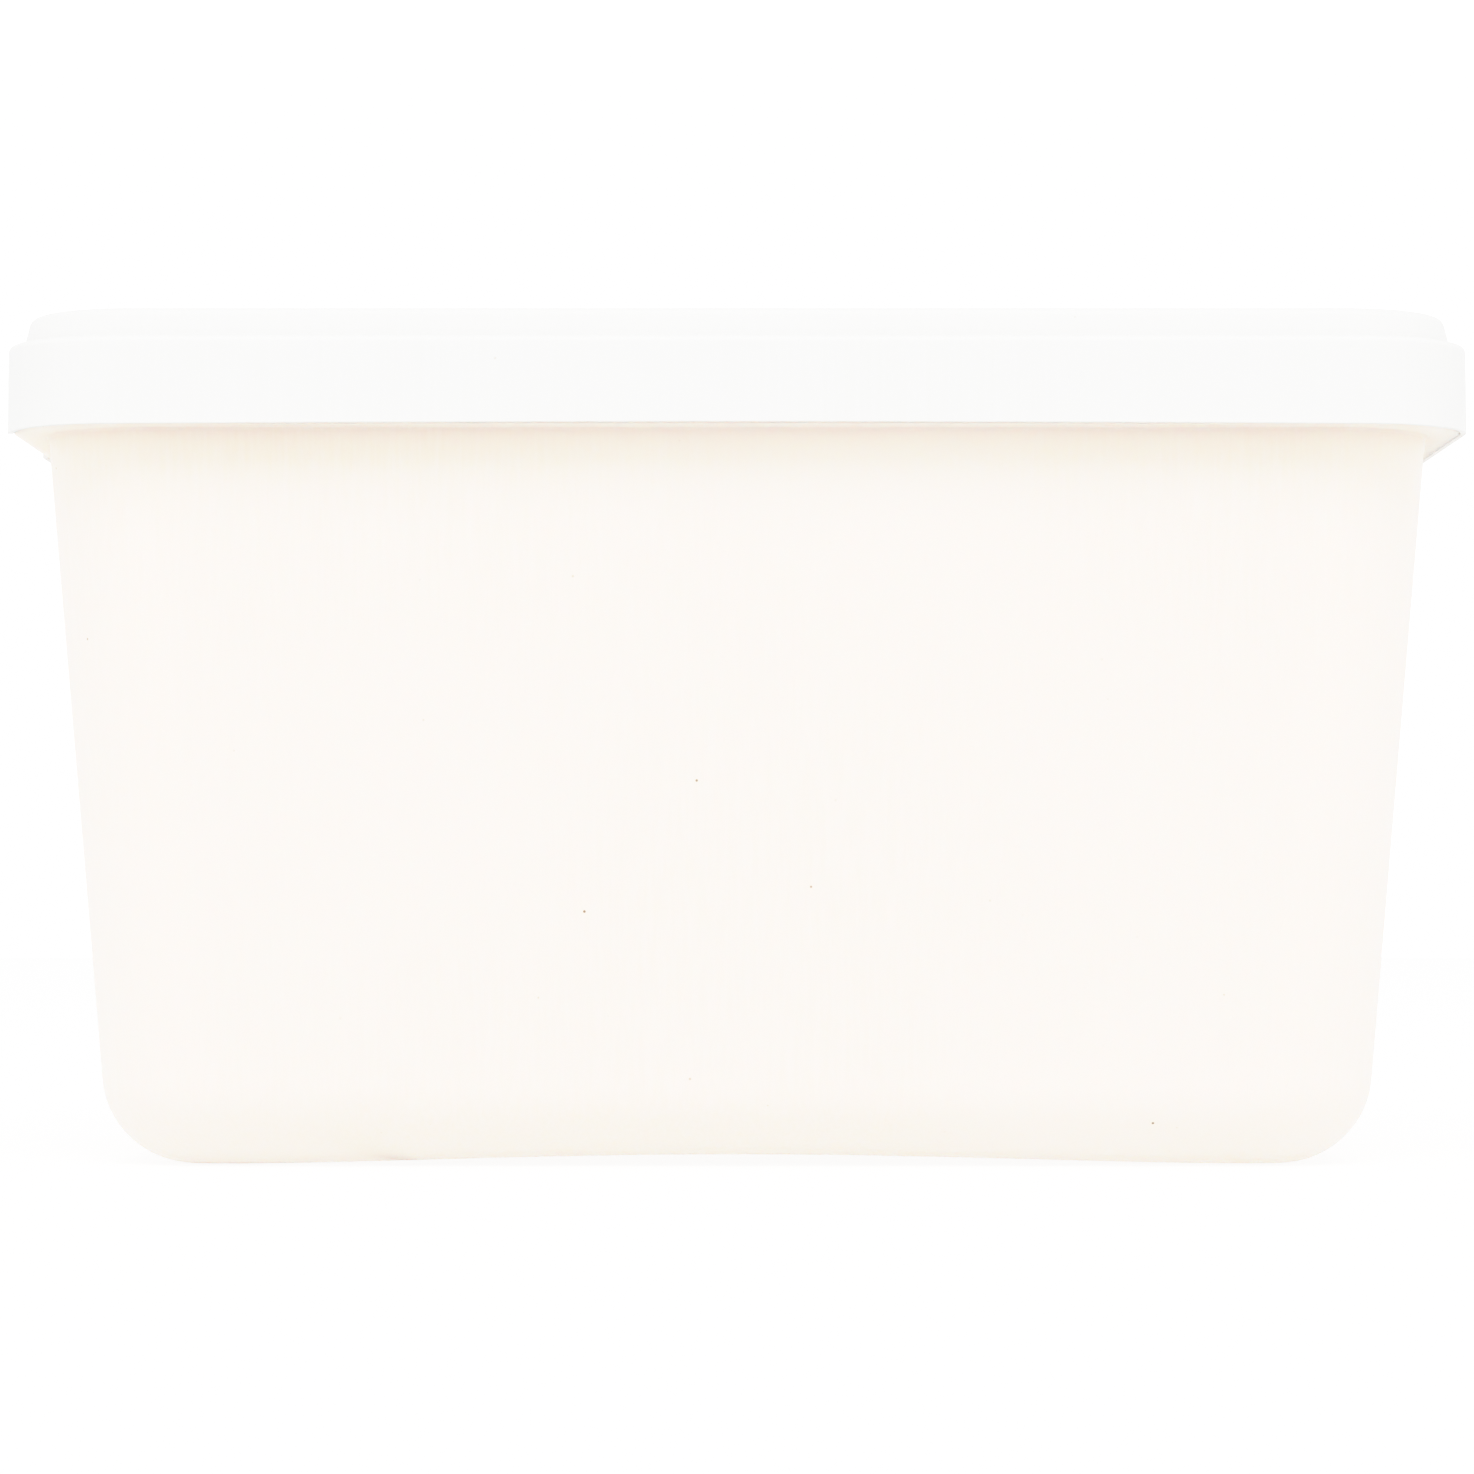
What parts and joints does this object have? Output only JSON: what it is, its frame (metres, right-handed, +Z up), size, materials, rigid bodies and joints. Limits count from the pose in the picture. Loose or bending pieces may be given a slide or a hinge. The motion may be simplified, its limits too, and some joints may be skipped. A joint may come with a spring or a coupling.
{
  "type": "ice cream tub",
  "caption": "Shut rectangular ice cream tub with drafted walls, a rim stepped out over them and a clip-on lid with a raised stacking rim.",
  "frame": {"origin": "centre of the base, on the plane the four corner feet stand on", "axes": "+X along the long side to the right, +Y to the back, away from the front long side, +Z up through the lid"},
  "size_m": [0.194, 0.131, 0.1125],
  "materials": {
    "cream_plastic": "satin moulded polypropylene, warm cream",
    "white_plastic": "satin moulded polypropylene, white"
  },
  "bodies": {
    "root": {"tub": "cream_plastic", "lid": "white_plastic"}
  },
  "joints": []
}
